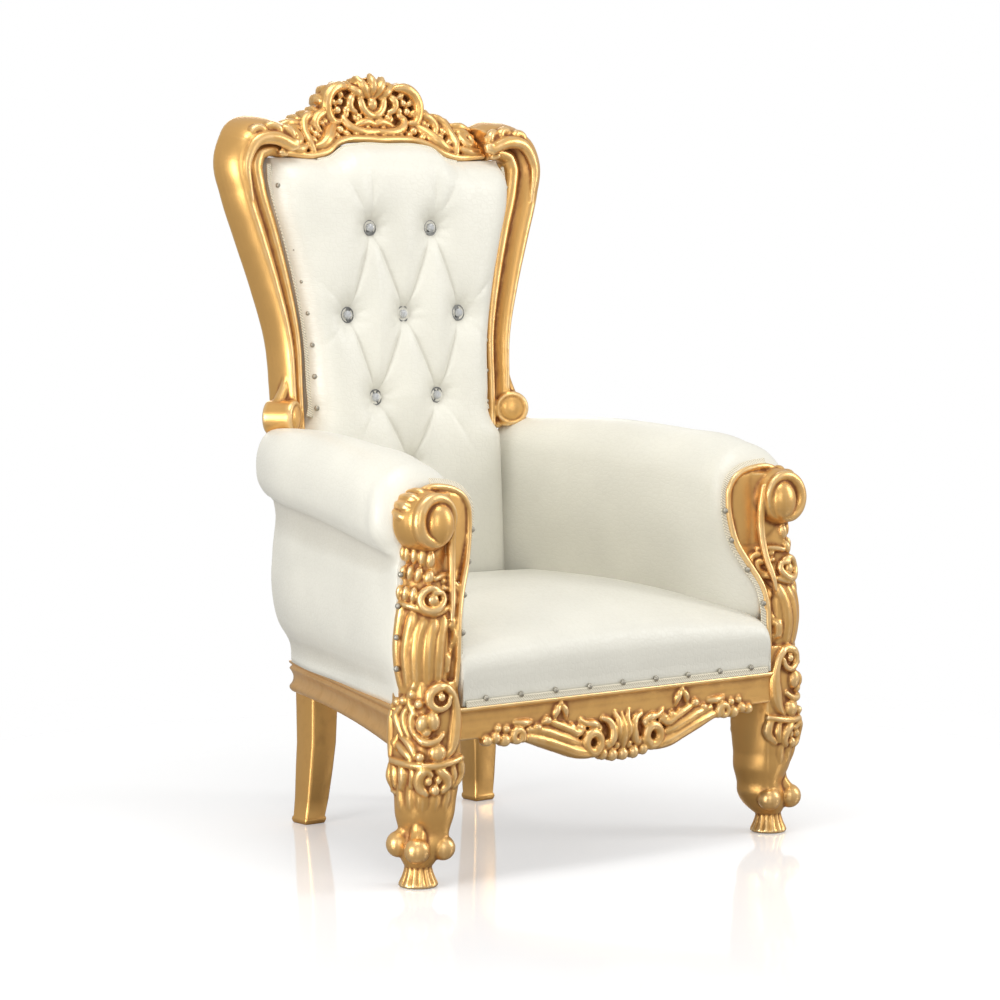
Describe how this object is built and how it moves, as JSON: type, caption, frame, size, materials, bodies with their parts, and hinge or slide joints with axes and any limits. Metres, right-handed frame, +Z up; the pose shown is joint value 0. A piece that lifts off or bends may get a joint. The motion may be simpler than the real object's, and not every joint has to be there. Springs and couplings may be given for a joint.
{
  "type": "throne",
  "caption": "Small throne chair with a carved gilt frame, scrolled arms and a tall button-tufted white back on cabriole front legs.",
  "frame": {"origin": "on the floor, under the middle of the chair's box", "axes": "+Z up, the sitter faces -Y, +X to the right of someone looking at the front"},
  "size_m": [0.804, 0.6728, 1.199],
  "materials": {
    "gilt_wood": "carved hardwood, satin gold paint with darker recesses",
    "leatherette": "warm white embossed leatherette, soft sheen",
    "crystal": "clear cut crystal"
  },
  "bodies": {
    "root": {"front_leg_right": "gilt_wood", "front_leg_left": "gilt_wood", "rear_leg_right": "gilt_wood", "rear_leg_left": "gilt_wood", "side_rail_right": "gilt_wood", "side_rail_left": "gilt_wood", "back_post_right": "gilt_wood", "back_post_left": "gilt_wood", "arm_pad_right": "leatherette", "arm_pad_left": "leatherette", "front_rail": "gilt_wood", "back_rail": "gilt_wood", "crest_rail": "gilt_wood", "seat_cushion": "leatherette", "back_pad": "leatherette", "back_panel": "leatherette", "button_1": "crystal", "button_2": "crystal", "button_3": "crystal", "button_4": "crystal", "button_5": "crystal", "button_6": "crystal", "button_7": "crystal", "button_8": "crystal"}
  },
  "joints": []
}
